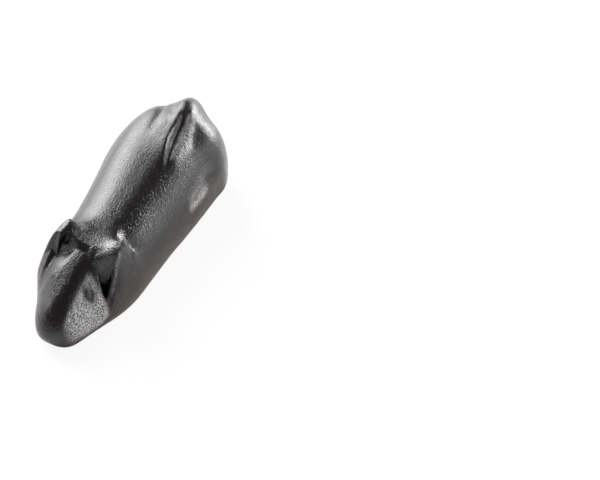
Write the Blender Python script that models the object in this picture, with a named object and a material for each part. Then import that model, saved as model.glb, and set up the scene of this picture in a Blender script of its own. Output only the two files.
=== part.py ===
"""Licorice mouse: a small moulded sweet, one solid piece with a flat underside.

The mouse lies along Y with its nose towards -Y. Its left side is towards +X, and it
rests on z = 0. The origin is under the middle of the mouse. A starch mould has no
undercuts, so above the widest line the form is a height over every point of the plan.
"""

import math

import bmesh
import bpy
import numpy as np

# Driving dimensions, in millimetres. Places along the mouse are distances from its nose.
MM = 0.001
LENGTH = 36.0

# Half width and back height, before both ends are rounded off
HALF_WIDTH = [(0, 6.7), (4, 5.9), (8, 6.75), (12, 6.3), (16, 5.95), (20, 6.3), (28, 8.1), (36, 11.0)]
BACK_HEIGHT = [(0, 9.0), (6, 9.8), (15, 9.9), (23, 11.2), (30, 14.7), (36, 19.5)]

# Section exponents: a low top exponent makes a roof, a high one a flat back
TOP_EXPONENT = [(0, 1.9), (3, 1.35), (8, 1.35), (13, 1.7), (18, 1.8), (26, 2.0), (36, 2.0)]
SIDE_EXPONENT = [(0, 1.9), (3, 1.5), (8, 1.6), (13, 2.0), (20, 2.2), (36, 2.1)]
RIDGE_RADIUS = 0.8

# The right cheek is fuller than the left one
RIGHT_CHEEK = 0.7
CHEEK_PLACE = 7.0
CHEEK_LENGTH = 3.0

# Height of the widest line, along the sides and at the two ends
WIDEST_HEIGHT = 2.4
NOSE_HEIGHT = 2.2
REAR_HEIGHT = 3.0
UNDERSIDE_EXPONENT = 3.2
UNDERSIDE_CUT = 0.4

# Sideways bend of the whole mouse, positive to its left
BEND = [(0, -0.11), (4, -0.16), (8, -0.41), (12, -0.01), (16, 0.09), (20, -0.01), (28, -0.21), (36, -0.01)]

# Ears: tip, lower end of the rim, and the crest that joins both ears
EAR_TIP_X = 3.6
EAR_TIP_PLACE = 11.9
EAR_TIP_HEIGHT = 10.2
RIM_END_X = 4.25
RIM_END_PLACE = 6.4
RIM_END_HEIGHT = 2.8
RIM_BOW = 0.9
RIM_RADIUS = 0.7
RIM_INNER_SLOPE = 4.5
CREST_PLACE = 11.0
CREST_HEIGHT = 9.0

# Inner face of the ear, and the small knob at its tip
FACE_TOP = 1.0
FACE_BOW = 0.16
FACE_SLANT = 0.3
FACE_SLANT_X = 1.8
KNOB_HEIGHT = 0.5
KNOB_PLACE = 11.4
KNOB_RADIUS = 0.4
KNOB_OFFSET = 0.2
KNOB_GROOVE = 0.2
GROOVE_BESIDE_KNOB = -0.35

# Steep wall that ends the face, the left face's mound and the right rim's outward roll
WALL_NEAR = 1.3
WALL_FAR = 2.75
WALL_DROP = 2.0
MOUND_HEIGHT = 0.3
MOUND_X = 3.2
MOUND_WIDTH = 1.4
MOUND_PLACE = 10.6
RIM_ROLL = 0.35

# How far the ear runs out over the cheek and the nape, and the dip behind its side
EAR_SIDE_RUN = 1.8
EAR_SIDE_SLANT = 0.6
EAR_BACK_RUN = 3.2
TIP_BACK_RUN = 1.0
DIP_DEPTH = 0.35
DIP_X = 4.2
DIP_PLACE = 13.0

# Pocket in front of each ear, shallower on the right, and how softly it meets the body
POCKET_DEPTH = 2.8
RIGHT_POCKET = 0.4
POCKET_END = 6.3
POCKET_SLANT = 0.92
POCKET_BACK = 8.9
SHARP_LIP_RUN = 0.8
SOFT_LIP_START = -3.5
SOFT_LIP_RUN = 2.0
NAPE_BLEND = 1.9
POCKET_BLEND = 0.5
RIGHT_POCKET_BLEND = 1.0

# Eyes
EYE_X = 2.3
EYE_PLACE = 5.6
EYE_RADIUS = 0.42
EYE_HEIGHT = 0.12
EYE_RING = 0.55
RIGHT_EYE = 0.5

# Tail: its crest runs slanting over the rump, with a groove and a lower fold on its left
TAIL_CREST = [(22, 2.2), (24.6, 1.55), (26.6, 1.05), (28, 0.9), (30, 0.6), (33, -0.3), (36, -0.2)]
TAIL_TIP = 22.3
TAIL_FULL = 26.5
TAIL_HEIGHT = 0.55
TAIL_RUN = 3.0
CREST_FADE = 29.2
CREST_END = 31.2
GROOVE_DEPTH = 0.15
GROOVE_OFFSET = 0.8
GROOVE_HALF_WIDTH = 0.45
FOLD_LINE = [(24, 2.9), (26.5, 2.7), (28.5, 2.5), (30, 2.05), (31.5, 1.5)]
FOLD_EDGE = [(24, 3.6), (26.5, 4.05), (28, 3.6), (29.6, 2.7), (31.5, 1.9)]
FOLD_FRONT = 24.2
FOLD_FULL = 25.2
FOLD_FADE = 30.0
FOLD_END = 31.5
FOLD_HEIGHT = 0.25
FOLD_LIP = 0.12

# Root of the tail, the hollow beside it and the groove down the rear
ROOT_START = 28.0
ROOT_FULL = 32.3
ROOT_FADE = 33.5
ROOT_HEIGHT = 1.35
ROOT_OFFSET = 0.65
ROOT_LEFT_WIDTH = 1.8
ROOT_RIGHT_WIDTH = 1.3
RIGHT_HOLLOW_DEPTH = 0.2
RIGHT_HOLLOW_OFFSET = -2.4
REAR_GROOVE_START = 33.0
REAR_GROOVE_FULL = 34.5
REAR_GROOVE_X = -1.0
REAR_GROOVE_DEPTH = 0.4

# Thighs: a lipped crease along each side, and the left haunch behind it
THIGH_LINE = [(22, 6.2), (27, 6.35), (29, 6.2)]
THIGH_FRONT = 21.5
THIGH_FADE = 27.5
THIGH_END = 29.5
THIGH_STEP = 0.05
THIGH_LIP = 0.15
LIP_OFFSET = 0.4
LIP_WIDTH = 0.22
RIGHT_THIGH = 0.6
HAUNCH_LINE = [(1.5, 33.4), (2.2, 32.5), (3.0, 31.6), (3.8, 31.1), (5, 30.9), (7, 30.5)]
HAUNCH_HEIGHT = 0.85
HAUNCH_FRONT_WIDTH = 2.0
HAUNCH_REAR_WIDTH = 4.2

# Mesh
CUTS_PER_EDGE = 110
TRIANGLES = 8800
NAME = "licorice_mouse"
BLACK = (0.017, 0.015, 0.015, 1.0)
ROUGHNESS = 0.36


def smooth_step(low, high, t):
    """Rise smoothly from 0 at low to 1 at high."""
    u = np.clip((t - low) / (high - low), 0, 1)
    return u * u * (3 - 2 * u)


def bell(t, width):
    return np.exp(-((t / width) ** 2))


def ridge(d, right_width, left_width):
    """A rounded ridge whose flanks have their own widths. d is positive to the left."""
    width = np.where(d < 0, right_width, left_width)
    return np.exp(-np.abs(d / width) ** 2.2)


def soft_min(a, b, radius):
    h = np.clip(0.5 + 0.5 * (b - a) / radius, 0, 1)
    return b * (1 - h) + a * h - radius * h * (1 - h)


def soft_max(a, b, radius):
    return -soft_min(-a, -b, radius)


def rounded(distance, radius):
    """A straight fall whose start is rounded off."""
    return np.sqrt(np.maximum(distance, 0) ** 2 + radius ** 2) - radius


def curve_through(points, t):
    """Natural cubic spline through a few (place, value) points."""
    x, y = np.array(points, float).T
    step = np.diff(x)
    count = len(x)
    matrix = np.eye(count)
    right_side = np.zeros(count)
    for i in range(1, count - 1):
        matrix[i, i - 1:i + 2] = step[i - 1], 2 * (step[i - 1] + step[i]), step[i]
        right_side[i] = 6 * ((y[i + 1] - y[i]) / step[i] - (y[i] - y[i - 1]) / step[i - 1])
    bend = np.linalg.solve(matrix, right_side)
    t = np.clip(t, x[0], x[-1])
    i = np.clip(np.searchsorted(x, t) - 1, 0, count - 2)
    after, before = t - x[i], x[i + 1] - t
    cubic = (bend[i] * before ** 3 + bend[i + 1] * after ** 3) / (6 * step[i])
    start = (y[i] / step[i] - bend[i] * step[i] / 6) * before
    end = (y[i + 1] / step[i] - bend[i + 1] * step[i] / 6) * after
    return cubic + start + end


def end_rounding(s):
    """Ellipse that closes the nose and the rear: 0 at both ends, 1 in the middle."""
    c = np.clip(1 - 2 * s / LENGTH, -1, 1)
    return np.sqrt(np.maximum(1 - c * c, 0))


def widest_height(s):
    end = np.where(s < LENGTH / 2, NOSE_HEIGHT, REAR_HEIGHT)
    return end + (WIDEST_HEIGHT - end) * smooth_step(0, 0.6, end_rounding(s))


def body_height(x, s):
    rounding = end_rounding(s)
    half_width = np.maximum(rounding * curve_through(HALF_WIDTH, s), 1e-6)
    base = widest_height(s)
    rise = rounding * (curve_through(BACK_HEIGHT, s) - base)
    radius = RIDGE_RADIUS * rounding
    across = np.sqrt(x * x + radius * radius) - radius
    full = np.sqrt(half_width * half_width + radius * radius) - radius
    t = np.clip(across / np.maximum(full, 1e-9), 0, 1)
    fuller = RIGHT_CHEEK * bell(s - CHEEK_PLACE, CHEEK_LENGTH) * (1 - smooth_step(-2.0, 0.5, x))
    top = curve_through(TOP_EXPONENT, s) + fuller
    side = curve_through(SIDE_EXPONENT, s)
    return base + rise * (1 - t ** top) ** (1 / side)


def ear_rim(s):
    """Place across and height of the rim that climbs from the cheek to the ear's tip."""
    t = (s - RIM_END_PLACE) / (EAR_TIP_PLACE - RIM_END_PLACE)
    inside = np.clip(t, 0, 1)
    bow = RIM_BOW * 4 * inside * (1 - inside)
    across = RIM_END_X + (EAR_TIP_X - RIM_END_X) * inside
    height = RIM_END_HEIGHT + (EAR_TIP_HEIGHT - RIM_END_HEIGHT) * np.minimum(t, 1) + bow
    return across, height


def ear_crest(a):
    """Place along and height of the crest that joins both ears over the head."""
    outward = rounded(a, 1.0) / rounded(EAR_TIP_X, 1.0)
    outward = soft_min(outward, 1.0, 0.1)
    place = CREST_PLACE + (EAR_TIP_PLACE - CREST_PLACE) * outward
    place -= EAR_SIDE_SLANT * rounded(a - EAR_TIP_X, 0.5)
    return place, CREST_HEIGHT + (EAR_TIP_HEIGHT - CREST_HEIGHT) * outward


def ear_pocket(a, s, left, rim_x):
    """Depth of the pocket in front of the ear, whose lip is sharp on the left ear only."""
    behind_lip = s - POCKET_END - POCKET_SLANT * (RIM_END_X - a)
    lip_run = SOFT_LIP_RUN + (SHARP_LIP_RUN - SOFT_LIP_RUN) * left
    depth = POCKET_DEPTH * (RIGHT_POCKET + (1 - RIGHT_POCKET) * left)
    depth = depth * smooth_step(SOFT_LIP_START * (1 - left), lip_run, behind_lip)
    depth *= smooth_step(0.6, 1.9, a) * (1 - smooth_step(-0.8, 0.2, a - rim_x))
    return depth * (1 - smooth_step(-0.4, 0.4, s - POCKET_BACK))


def ear_cup(a, s, left, rim_x, rim_height, crest_place, crest_height):
    """Inner face of the ear, which bows down forwards, with the rim's wall and knob."""
    # The face bows down forwards, and ends in a steep wall that is nearer on the right
    reach = np.maximum(smooth_step(0.3, 1.6, a) * left, smooth_step(2.6, 3.4, a))
    slanted = crest_place + FACE_SLANT * np.maximum(a - FACE_SLANT_X, 0)
    ahead = np.maximum(slanted - FACE_TOP - s, 0)
    past_wall = np.maximum(slanted - WALL_NEAR - (WALL_FAR - WALL_NEAR) * reach - s, 0)
    face = crest_height - FACE_BOW * ahead ** 2 - WALL_DROP * past_wall ** 2
    face += MOUND_HEIGHT * left * bell(a - MOUND_X, MOUND_WIDTH) * bell(s - MOUND_PLACE, 1.3)
    wall = rim_height - RIM_INNER_SLOPE * rounded(rim_x - a, RIM_RADIUS)
    knob = KNOB_HEIGHT * bell(a - rim_x - KNOB_OFFSET, KNOB_RADIUS) * bell(s - KNOB_PLACE, 0.7)
    knob -= KNOB_GROOVE * bell(a - rim_x - GROOVE_BESIDE_KNOB, 0.17) * bell(s - KNOB_PLACE, 0.8)
    roll = RIM_ROLL * (1 - left) * smooth_step(-0.6, 0.3, a - rim_x) * smooth_step(8.0, 9.5, s)
    return soft_max(face, wall, 0.5) + knob * left - roll


def with_ears(x, s, body):
    """Raise both ears over the body and press the pocket in front of each."""
    a = np.abs(x)
    left = smooth_step(-1.5, 1.5, x)
    rim_x, rim_height = ear_rim(s)
    crest_place, crest_height = ear_crest(a)
    cup = ear_cup(a, s, left, rim_x, rim_height, crest_place, crest_height)
    hollowed = body - ear_pocket(a, s, left, rim_x)
    in_pocket = smooth_step(0.8, 2.0, a) * (1 - smooth_step(-2.6, -1.2, s - crest_place))
    tight = RIGHT_POCKET_BLEND + (POCKET_BLEND - RIGHT_POCKET_BLEND) * left
    blend = NAPE_BLEND + (tight - NAPE_BLEND) * in_pocket
    rise = soft_max(hollowed, cup, blend) - body
    # The outer side curves into the body's side, and the back into the nape
    rise *= 1 - smooth_step(0, EAR_SIDE_RUN, a - rim_x)
    back_run = EAR_BACK_RUN + (TIP_BACK_RUN - EAR_BACK_RUN) * smooth_step(1.5, 3.4, a)
    rise *= 1 - smooth_step(-0.5, back_run, s - crest_place)
    # A soft dip parts the ear from the shoulder
    return body + rise - DIP_DEPTH * bell(a - DIP_X, 1.2) * bell(s - DIP_PLACE, 0.8)


def eyes(x, s):
    """A small round bump in a shallow ring on each side of the snout."""
    distance = np.hypot(np.abs(x) - EYE_X, s - EYE_PLACE)
    bump = EYE_HEIGHT * np.exp(-((distance / EYE_RADIUS) ** 3))
    eye = bump - 0.5 * EYE_HEIGHT * bell(distance - EYE_RING, 0.2)
    return eye * np.where(x > 0, 1.0, RIGHT_EYE)


def tail(x, s):
    """The tail lies over the rump as a crest, a groove and a lower fold."""
    d = x - curve_through(TAIL_CREST, s)
    root = smooth_step(ROOT_START, ROOT_FULL, s)
    crest = TAIL_HEIGHT * np.clip(1 + d / TAIL_RUN, 0, 1) ** 1.6 * (1 - smooth_step(-0.05, 0.8, d))
    crest *= 1 - smooth_step(CREST_FADE, CREST_END, s)
    groove = GROOVE_DEPTH * bell(d - GROOVE_OFFSET, GROOVE_HALF_WIDTH) * (1 - root)
    relief = (crest - groove) * smooth_step(TAIL_TIP, TAIL_FULL, s)
    # The fold is a low terrace with a lip along the groove
    from_line = x - curve_through(FOLD_LINE, s)
    from_edge = x - curve_through(FOLD_EDGE, s)
    fold = FOLD_HEIGHT * smooth_step(-0.4, 0.1, from_line) * (1 - smooth_step(-0.7, 0.3, from_edge))
    fold += FOLD_LIP * bell(from_line - 0.15, 0.25)
    relief += fold * smooth_step(FOLD_FRONT, FOLD_FULL, s) * (1 - smooth_step(FOLD_FADE, FOLD_END, s))
    # The root is a thick lump, with a hollow on its right and a groove down the rear
    lump = ROOT_HEIGHT * ridge(d - ROOT_OFFSET, ROOT_RIGHT_WIDTH, ROOT_LEFT_WIDTH) * root
    relief += lump * (1 - smooth_step(ROOT_FADE, LENGTH, s))
    relief -= RIGHT_HOLLOW_DEPTH * bell(d - RIGHT_HOLLOW_OFFSET, 0.7) * smooth_step(25, 30, s)
    width = 0.2 + 0.4 * smooth_step(REAR_GROOVE_START, LENGTH, s)
    rear = smooth_step(REAR_GROOVE_START, REAR_GROOVE_FULL, s)
    return relief - REAR_GROOVE_DEPTH * bell(x - REAR_GROOVE_X, width) * rear


def thighs(x, s):
    """A lipped crease along each side, and the left haunch swelling behind it."""
    a = np.abs(x)
    d = a - curve_through(THIGH_LINE, s)
    step = THIGH_STEP * smooth_step(-0.5, 0.5, d)
    lips = bell(d + LIP_OFFSET, LIP_WIDTH) + bell(d - LIP_OFFSET, LIP_WIDTH) - 1.6 * bell(d, LIP_WIDTH)
    crease = (step + THIGH_LIP * lips) * np.where(x > 0, 1.0, RIGHT_THIGH)
    crease *= smooth_step(THIGH_FRONT, THIGH_FRONT + 3.0, s) * (1 - smooth_step(THIGH_FADE, THIGH_END, s))
    behind = s - curve_through(HAUNCH_LINE, a)
    width = np.where(behind < 0, HAUNCH_FRONT_WIDTH, HAUNCH_REAR_WIDTH)
    haunch = HAUNCH_HEIGHT * bell(behind, width) * smooth_step(1.6, 4.6, x)
    return crease + haunch * smooth_step(0, 0.35, end_rounding(s))


def outward(x, s):
    """Direction that points out of the plain body at each place of the plan."""
    step = 0.02
    across = (body_height(x + step, s) - body_height(x - step, s)) / (2 * step)
    s_low, s_high = np.maximum(s - step, 0), np.minimum(s + step, LENGTH)
    along = (body_height(x, s_high) - body_height(x, s_low)) / (s_high - s_low)
    length = np.sqrt(across ** 2 + along ** 2 + 1)
    return -across / length, -along / length, 1 / length


def mouse_surface(unit):
    """Carry points of a unit sphere, whose poles lie along Y, onto the mouse."""
    along = np.clip(unit[:, 1], -1, 1)
    s = LENGTH / 2 * (1 + along)
    rounding = end_rounding(s)
    radial = np.maximum(np.hypot(unit[:, 0], unit[:, 2]), 1e-9)
    cosine, sine = unit[:, 0] / radial, unit[:, 2] / radial
    above = sine > 0
    half_width = rounding * curve_through(HALF_WIDTH, s)
    base = widest_height(s)
    power = UNDERSIDE_EXPONENT
    square = (np.abs(cosine) ** power + np.abs(sine) ** power + 1e-12) ** (-1 / power)
    x = half_width * cosine * np.where(above, 1, square)
    body = body_height(x, s)
    top = body + (with_ears(x, s, body) - body) * smooth_step(0, 0.22, sine)
    relief = (eyes(x, s) + tail(x, s) + thighs(x, s)) * smooth_step(-0.8, 0.0, sine)
    out_x, out_y, out_z = outward(x, s)
    depth = (base + UNDERSIDE_CUT) * smooth_step(-0.05, 0.5, rounding)
    under = np.maximum(base + depth * square * sine, 0)
    place_x = x + curve_through(BEND, s) + relief * out_x
    place_y = s - LENGTH / 2 + relief * out_y
    place_z = np.where(above, top + relief * out_z, under)
    return np.stack([place_x, place_y, place_z], axis=1)


def sphere_cage(cuts):
    """A cube cut into a fine grid, whose points are pushed out to a unit sphere."""
    bm = bmesh.new()
    bmesh.ops.create_cube(bm, size=2)
    bmesh.ops.subdivide_edges(bm, edges=bm.edges[:], cuts=cuts, use_grid_fill=True)
    points = np.array([v.co[:] for v in bm.verts])
    points = np.tan(points * math.pi / 4)
    points /= np.linalg.norm(points, axis=1, keepdims=True)
    return bm, points


def licorice():
    material = bpy.data.materials.new("licorice")
    material.use_nodes = True
    shader = material.node_tree.nodes["Principled BSDF"]
    shader.inputs["Base Color"].default_value = BLACK
    shader.inputs["Roughness"].default_value = ROUGHNESS
    shader.inputs["Metallic"].default_value = 0.0
    return material


def make_mouse(collection):
    bm, unit = sphere_cage(CUTS_PER_EDGE)
    for vert, place in zip(bm.verts, mouse_surface(unit) * MM):
        vert.co = place
    mesh = bpy.data.meshes.new(NAME)
    bm.to_mesh(mesh)
    bm.free()
    mesh.shade_smooth()
    mesh.materials.append(licorice())
    mouse = bpy.data.objects.new(NAME, mesh)
    collection.objects.link(mouse)
    # Fewer triangles on the even flanks and underside, more on ears, tail and creases
    thin_out = mouse.modifiers.new("Thin out", "DECIMATE")
    thin_out.ratio = TRIANGLES / (2 * len(mesh.polygons))
    return mouse


def main():
    for old in list(bpy.data.objects):
        bpy.data.objects.remove(old)
    collection = bpy.data.collections.new("Licorice mouse")
    bpy.context.scene.collection.children.link(collection)
    make_mouse(collection)


main()
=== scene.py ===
# %% [markdown]
# A licorice mouse, finished in Blender
#
# The real thing is one small moulded sweet: near-black licorice cast in a starch mould,
# with a flat underside where the mould was open. It is all one piece, so the work is in
# two things. One is the form: a pointed snout, cupped ears and a tail that lies over the
# rump. The other is the skin: a satin gloss with a fine grain left by the starch.

import math

import bmesh
import bpy
import numpy as np
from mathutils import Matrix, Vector, noise


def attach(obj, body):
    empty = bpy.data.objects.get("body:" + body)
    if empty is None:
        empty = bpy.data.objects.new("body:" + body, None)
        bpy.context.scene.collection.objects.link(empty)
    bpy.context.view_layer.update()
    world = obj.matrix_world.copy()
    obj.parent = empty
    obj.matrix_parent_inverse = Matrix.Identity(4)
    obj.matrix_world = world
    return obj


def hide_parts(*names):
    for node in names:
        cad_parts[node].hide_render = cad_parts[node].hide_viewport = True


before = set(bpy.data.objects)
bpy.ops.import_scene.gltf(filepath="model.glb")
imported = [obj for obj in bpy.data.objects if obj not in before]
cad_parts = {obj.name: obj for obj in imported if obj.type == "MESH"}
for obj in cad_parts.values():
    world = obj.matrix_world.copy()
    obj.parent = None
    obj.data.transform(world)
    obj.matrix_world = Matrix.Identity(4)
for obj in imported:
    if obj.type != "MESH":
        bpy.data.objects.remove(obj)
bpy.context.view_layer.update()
MM = 0.001

# %% [markdown]
# The photograph looks down on the mouse from its front left. The sweet is small and the
# camera is near, so a little perspective shows: the nose, which is nearer, looks larger.
# The mouse lies left of the picture's middle. The camera is swung sideways to put it
# there, because a swing keeps true perspective, and a lens shift would stay in the way
# when the camera later moves round the mouse. The swing takes the shortest way, so the
# mouse keeps its slant in the picture.

# %% Camera
PHOTO_WIDTH = 600
AZIMUTH = math.radians(29.5)
ELEVATION = math.radians(51.0)
DISTANCE = 260 * MM
PIXELS_PER_MM = 8.35
TARGET = Vector((0.09 * MM, 0, 5 * MM))
AIM_RIGHT = 20.9 * MM
AIM_DOWN = 2.4 * MM

to_camera = Vector((math.sin(AZIMUTH) * math.cos(ELEVATION),
                    -math.cos(AZIMUTH) * math.cos(ELEVATION),
                    math.sin(ELEVATION)))
picture_right = Vector((math.cos(AZIMUTH), math.sin(AZIMUTH), 0))
picture_up = to_camera.cross(picture_right)
camera_data = bpy.data.cameras.new("camera")
camera = bpy.data.objects.new("camera", camera_data)
bpy.context.scene.collection.objects.link(camera)
camera.location = TARGET + to_camera * DISTANCE
aim = TARGET + picture_right * AIM_RIGHT - picture_up * AIM_DOWN
swing = (-to_camera).rotation_difference(aim - camera.location)
camera.rotation_euler = (swing @ (-to_camera).to_track_quat("-Z", "Y")).to_euler()
camera_data.lens = camera_data.sensor_width * DISTANCE * PIXELS_PER_MM / MM / PHOTO_WIDTH
camera_data.clip_start = 0.01
bpy.context.scene.camera = camera
print("camera lens", round(camera_data.lens, 1), "mm, aimed at", [round(v / MM, 1) for v in aim])

# %% [markdown]
# A black glossy thing is seen by what it mirrors. The dim even sky that fills the studio
# gives it its darkest greys. To the camera alone the sky is bright, so that views from
# the side keep a pale backdrop. A Light Path node tells the two apart.

# %% Sky
SKY = 0.2
SKY_SEEN = 1.0


def make_sky():
    world = bpy.data.worlds.new("studio")
    bpy.context.scene.world = world
    world.use_nodes = True
    nodes = world.node_tree.nodes
    links = world.node_tree.links
    background = nodes["Background"]
    background.inputs["Color"].default_value = (1, 1, 1, 1)
    path = nodes.new("ShaderNodeLightPath")
    strength = nodes.new("ShaderNodeMapRange")
    strength.inputs["To Min"].default_value = SKY
    strength.inputs["To Max"].default_value = SKY_SEEN
    links.new(path.outputs["Is Camera Ray"], strength.inputs["Value"])
    links.new(strength.outputs["Result"], background.inputs["Strength"])


make_sky()
print("sky of", SKY, "on the mouse and", SKY_SEEN, "to the camera")

# %% [markdown]
# The photograph shows two main lights: a broad window behind and to the left, and a
# smaller one low on the right. Between them and overhead it is dim, which leaves the dark
# stripe along the back. A weaker card at the right lifts the near side. Each is an
# upright area lamp with its own width and height, because the shape of a lamp is what
# the sweet mirrors. They all stand at one distance round the mouse.

# %% Lamps
LAMP_DISTANCE = 0.4


def make_lamp(name, bearings, heights, radiance):
    """An upright soft lamp, given by the angles it spans. Bearing 0 is straight away."""
    left, right = (math.tan(math.radians(b - sum(bearings) / 2)) for b in bearings)
    bottom, top = (math.tan(math.radians(h)) for h in heights)
    turn = math.radians(sum(bearings) / 2)
    away = Vector((-math.sin(AZIMUTH), math.cos(AZIMUTH), 0))
    level = picture_right * math.sin(turn) + away * math.cos(turn)
    lamp = bpy.data.lights.new(name, "AREA")
    lamp.shape = "RECTANGLE"
    lamp.size = (right - left) * LAMP_DISTANCE
    lamp.size_y = (top - bottom) * LAMP_DISTANCE
    lamp.energy = radiance * math.pi * lamp.size * lamp.size_y
    lamp_object = bpy.data.objects.new(name, lamp)
    bpy.context.scene.collection.objects.link(lamp_object)
    lamp_object.location = (level + Vector((0, 0, (top + bottom) / 2))) * LAMP_DISTANCE
    lamp_object.rotation_euler = (-level).to_track_quat("-Z", "Y").to_euler()
    print("lamp", name, round(lamp.energy, 2), "W")


make_lamp("window", bearings=(-62, -15), heights=(0, 60), radiance=10.5)
make_lamp("low_right", bearings=(38, 71), heights=(0, 21), radiance=26.0)
make_lamp("side_card", bearings=(82, 122), heights=(4, 25), radiance=4.2)
bpy.context.scene.view_settings.view_transform = "Standard"

# %% [markdown]
# The sweet lies on plain white. The floor is one large even sheet with a matt white
# finish. In the photograph the ground is burnt out to pure white, so to the camera most
# of the sheet's brightness is its own glow, and only a faint soft shadow shows on it.
# What the mouse mirrors is the plain sheet.

# %% Floor
FLOOR_HALF_WIDTH = 1.5
FLOOR_WHITE = (0.9, 0.9, 0.9, 1)
FLOOR_ROUGHNESS = 0.9
FLOOR_GLOW = 1.0
GLOW_SHARE = 0.9
floor_mesh = bpy.data.meshes.new("floor")
bm = bmesh.new()
bmesh.ops.create_grid(bm, x_segments=1, y_segments=1, size=FLOOR_HALF_WIDTH)
bm.to_mesh(floor_mesh)
bm.free()
floor_white = bpy.data.materials.new("floor_white")
floor_white.use_nodes = True
nodes = floor_white.node_tree.nodes
links = floor_white.node_tree.links
floor_shader = nodes["Principled BSDF"]
floor_shader.inputs["Base Color"].default_value = FLOOR_WHITE
floor_shader.inputs["Roughness"].default_value = FLOOR_ROUGHNESS
floor_shader.inputs["Specular IOR Level"].default_value = 0.0
glow = nodes.new("ShaderNodeEmission")
glow.inputs["Strength"].default_value = FLOOR_GLOW
path = nodes.new("ShaderNodeLightPath")
share = nodes.new("ShaderNodeMapRange")
share.inputs["To Max"].default_value = GLOW_SHARE
seen_floor = nodes.new("ShaderNodeMixShader")
links.new(path.outputs["Is Camera Ray"], share.inputs["Value"])
links.new(share.outputs["Result"], seen_floor.inputs["Fac"])
links.new(floor_shader.outputs["BSDF"], seen_floor.inputs[1])
links.new(glow.outputs["Emission"], seen_floor.inputs[2])
links.new(seen_floor.outputs["Shader"], nodes["Material Output"].inputs["Surface"])
floor_mesh.materials.append(floor_white)
floor = bpy.data.objects.new("floor", floor_mesh)
bpy.context.scene.collection.objects.link(floor)
print("floor", 2 * FLOOR_HALF_WIDTH, "m wide")

# %% [markdown]
# The form could be sculpted by hand, but a starch mould gives a simpler way. Such a
# mould has no undercuts, so the upper side is one height over each point of the plan,
# and each feature is a short function that adds to that height. The same functions,
# with fewer triangles, made the solid model, so the two agree. Two small tools come
# first, a smooth step and a bell. A named pair of numbers says where such a step starts
# and where it is full. All lengths from here on are in millimetres. In the functions x
# runs to the mouse's left, a is the same without its sign, and s runs back from the nose.

# %% Smooth step and bell


def smooth_step(low, high, t):
    """Rise smoothly from 0 at low to 1 at high."""
    u = np.clip((t - low) / (high - low), 0, 1)
    return u * u * (3 - 2 * u)


def bell(t, width):
    return np.exp(-((t / width) ** 2))


print("a quarter of the way along, a smooth step has reached", round(float(smooth_step(0, 1, 0.25)), 2))

# %% [markdown]
# A profile that changes along the mouse is drawn as a curve through a few chosen points.
# Blender's curve objects could do this, but a plain function gives the value at thousands
# of places in one go. It is the natural cubic spline: the smoothest curve through its
# points, whose ends don't bend.

# %% Spline


def curve_through(points, t):
    """Natural cubic spline through a few (place, value) points."""
    x, y = np.array(points, float).T
    step = np.diff(x)
    count = len(x)
    matrix = np.eye(count)
    right_side = np.zeros(count)
    for i in range(1, count - 1):
        matrix[i, i - 1:i + 2] = step[i - 1], 2 * (step[i - 1] + step[i]), step[i]
        right_side[i] = 6 * ((y[i + 1] - y[i]) / step[i] - (y[i] - y[i - 1]) / step[i - 1])
    bend = np.linalg.solve(matrix, right_side)
    t = np.clip(t, x[0], x[-1])
    i = np.clip(np.searchsorted(x, t) - 1, 0, count - 2)
    after, before = t - x[i], x[i + 1] - t
    cubic = (bend[i] * before ** 3 + bend[i + 1] * after ** 3) / (6 * step[i])
    start = (y[i] / step[i] - bend[i] * step[i] / 6) * before
    end = (y[i + 1] / step[i] - bend[i + 1] * step[i] / 6) * after
    return cubic + start + end


trial = [(0, 0), (1, 1), (2, 0)]
print("the spline through", trial, "is", float(curve_through(trial, 0.5)), "high at 0.5")

# %% [markdown]
# The body is a loaf: narrow and roof-shaped at the snout, full and round at the rump.
# Two splines give its half width and the height of its back, at places counted from the
# nose. An ellipse closes both ends, so the splines run on past the real values there.
# Each cross-section is a superellipse, whose exponents say how roof-like it is.

# %% Body
LENGTH = 36.0
HALF_WIDTH = [(0, 6.7), (4, 5.9), (8, 6.75), (12, 6.3), (16, 5.95), (20, 6.3), (28, 8.1), (36, 11.0)]
BACK_HEIGHT = [(0, 9.0), (6, 9.8), (15, 9.9), (23, 11.2), (30, 14.7), (36, 19.5)]
TOP_EXPONENT = [(0, 1.9), (3, 1.35), (8, 1.35), (13, 1.7), (18, 1.8), (26, 2.0), (36, 2.0)]
SIDE_EXPONENT = [(0, 1.9), (3, 1.5), (8, 1.6), (13, 2.0), (20, 2.2), (36, 2.1)]
RIGHT_CHEEK = 0.7
CHEEK_PLACE = 7.0
CHEEK_LENGTH = 3.0
CHEEK_EDGE = (-2.0, 0.5)
RIDGE_RADIUS = 0.8
WIDEST_HEIGHT = 2.4
NOSE_HEIGHT = 2.2
REAR_HEIGHT = 3.0
END_BLEND = 0.6


def end_rounding(s):
    """Ellipse that closes the nose and the rear: 0 at both ends, 1 in the middle."""
    c = np.clip(1 - 2 * s / LENGTH, -1, 1)
    return np.sqrt(np.maximum(1 - c * c, 0))


def widest_height(s):
    end = np.where(s < LENGTH / 2, NOSE_HEIGHT, REAR_HEIGHT)
    return end + (WIDEST_HEIGHT - end) * smooth_step(0, END_BLEND, end_rounding(s))


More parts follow.
